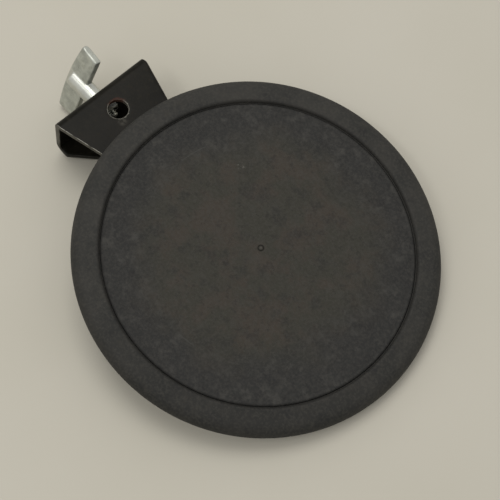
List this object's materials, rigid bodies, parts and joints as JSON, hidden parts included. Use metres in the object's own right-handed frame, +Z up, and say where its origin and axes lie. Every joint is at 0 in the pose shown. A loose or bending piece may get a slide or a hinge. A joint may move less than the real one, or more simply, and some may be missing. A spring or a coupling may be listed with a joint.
{
  "type": "practice pad",
  "caption": "Round drum practice pad: recessed rubber playing surface in a raised rubber rim, on a board, with a folded steel clamp bracket and a wing bolt for a stand rod.",
  "frame": {"origin": "on the surface that the pad lies on, under the middle of the whole object's box", "axes": "+Z up from that surface, -X towards the clamp bracket and wing bolt, Y across the bracket. The playing surface leans 10.03 degrees about Y, lower at +X, because the pad lies on its rim and on the bracket's lower flange. The mount playing_surface gives the pad's own centre and axis."},
  "size_m": [0.2656, 0.2064, 0.0501],
  "materials": {
    "surface_rubber": "matt charcoal rubber with dusty wear",
    "rim_rubber": "matt charcoal moulded rubber, slightly smoother than the playing surface",
    "foam": "closed-cell foam sheet",
    "plywood": "plain birch plywood",
    "base_paint": "satin black paint on steel",
    "bracket_paint": "satin black paint on folded steel, worn to grey at the cut edges",
    "zinc_plated_steel": "bright zinc plating",
    "cast_zinc": "dull die-cast zinc"
  },
  "bodies": {
    "pad": {"playing_surface": "surface_rubber", "shock_foam": "foam", "deck_board": "plywood", "rim_cover": "rim_rubber", "base_plate": "base_paint", "base_screw_1": "zinc_plated_steel", "base_screw_2": "zinc_plated_steel", "base_screw_3": "zinc_plated_steel", "base_screw_4": "zinc_plated_steel", "base_screw_5": "zinc_plated_steel", "base_screw_6": "zinc_plated_steel", "clamp_bracket": "bracket_paint", "tee_nut_1": "zinc_plated_steel", "bracket_washer_1": "zinc_plated_steel", "bracket_bolt_1": "zinc_plated_steel", "tee_nut_2": "zinc_plated_steel", "bracket_washer_2": "zinc_plated_steel", "bracket_bolt_2": "zinc_plated_steel", "tee_nut_3": "zinc_plated_steel", "bracket_washer_3": "zinc_plated_steel", "bracket_bolt_3": "zinc_plated_steel", "weld_nut": "zinc_plated_steel"},
    "washer": {"wing_washer": "zinc_plated_steel"},
    "wing_bolt": {"wing_shank": "zinc_plated_steel", "wing_head": "cast_zinc"}
  },
  "joints": [
    {"name": "bolt_travel", "type": "slide", "parent": "pad", "child": "washer", "axis": [-0.9847, 0, 0.1742], "range_m": [0, 0.005]},
    {"name": "bolt_turn", "type": "hinge", "parent": "washer", "child": "wing_bolt", "pos_m": [-0.10549, 0, 0.02221], "axis": [-0.9847, 0, 0.1742], "range_deg": [0, 1440]}
  ],
  "couplings": [
    {"joint": "bolt_travel", "follows": "bolt_turn", "m_per_rad": 0.00019894}
  ]
}
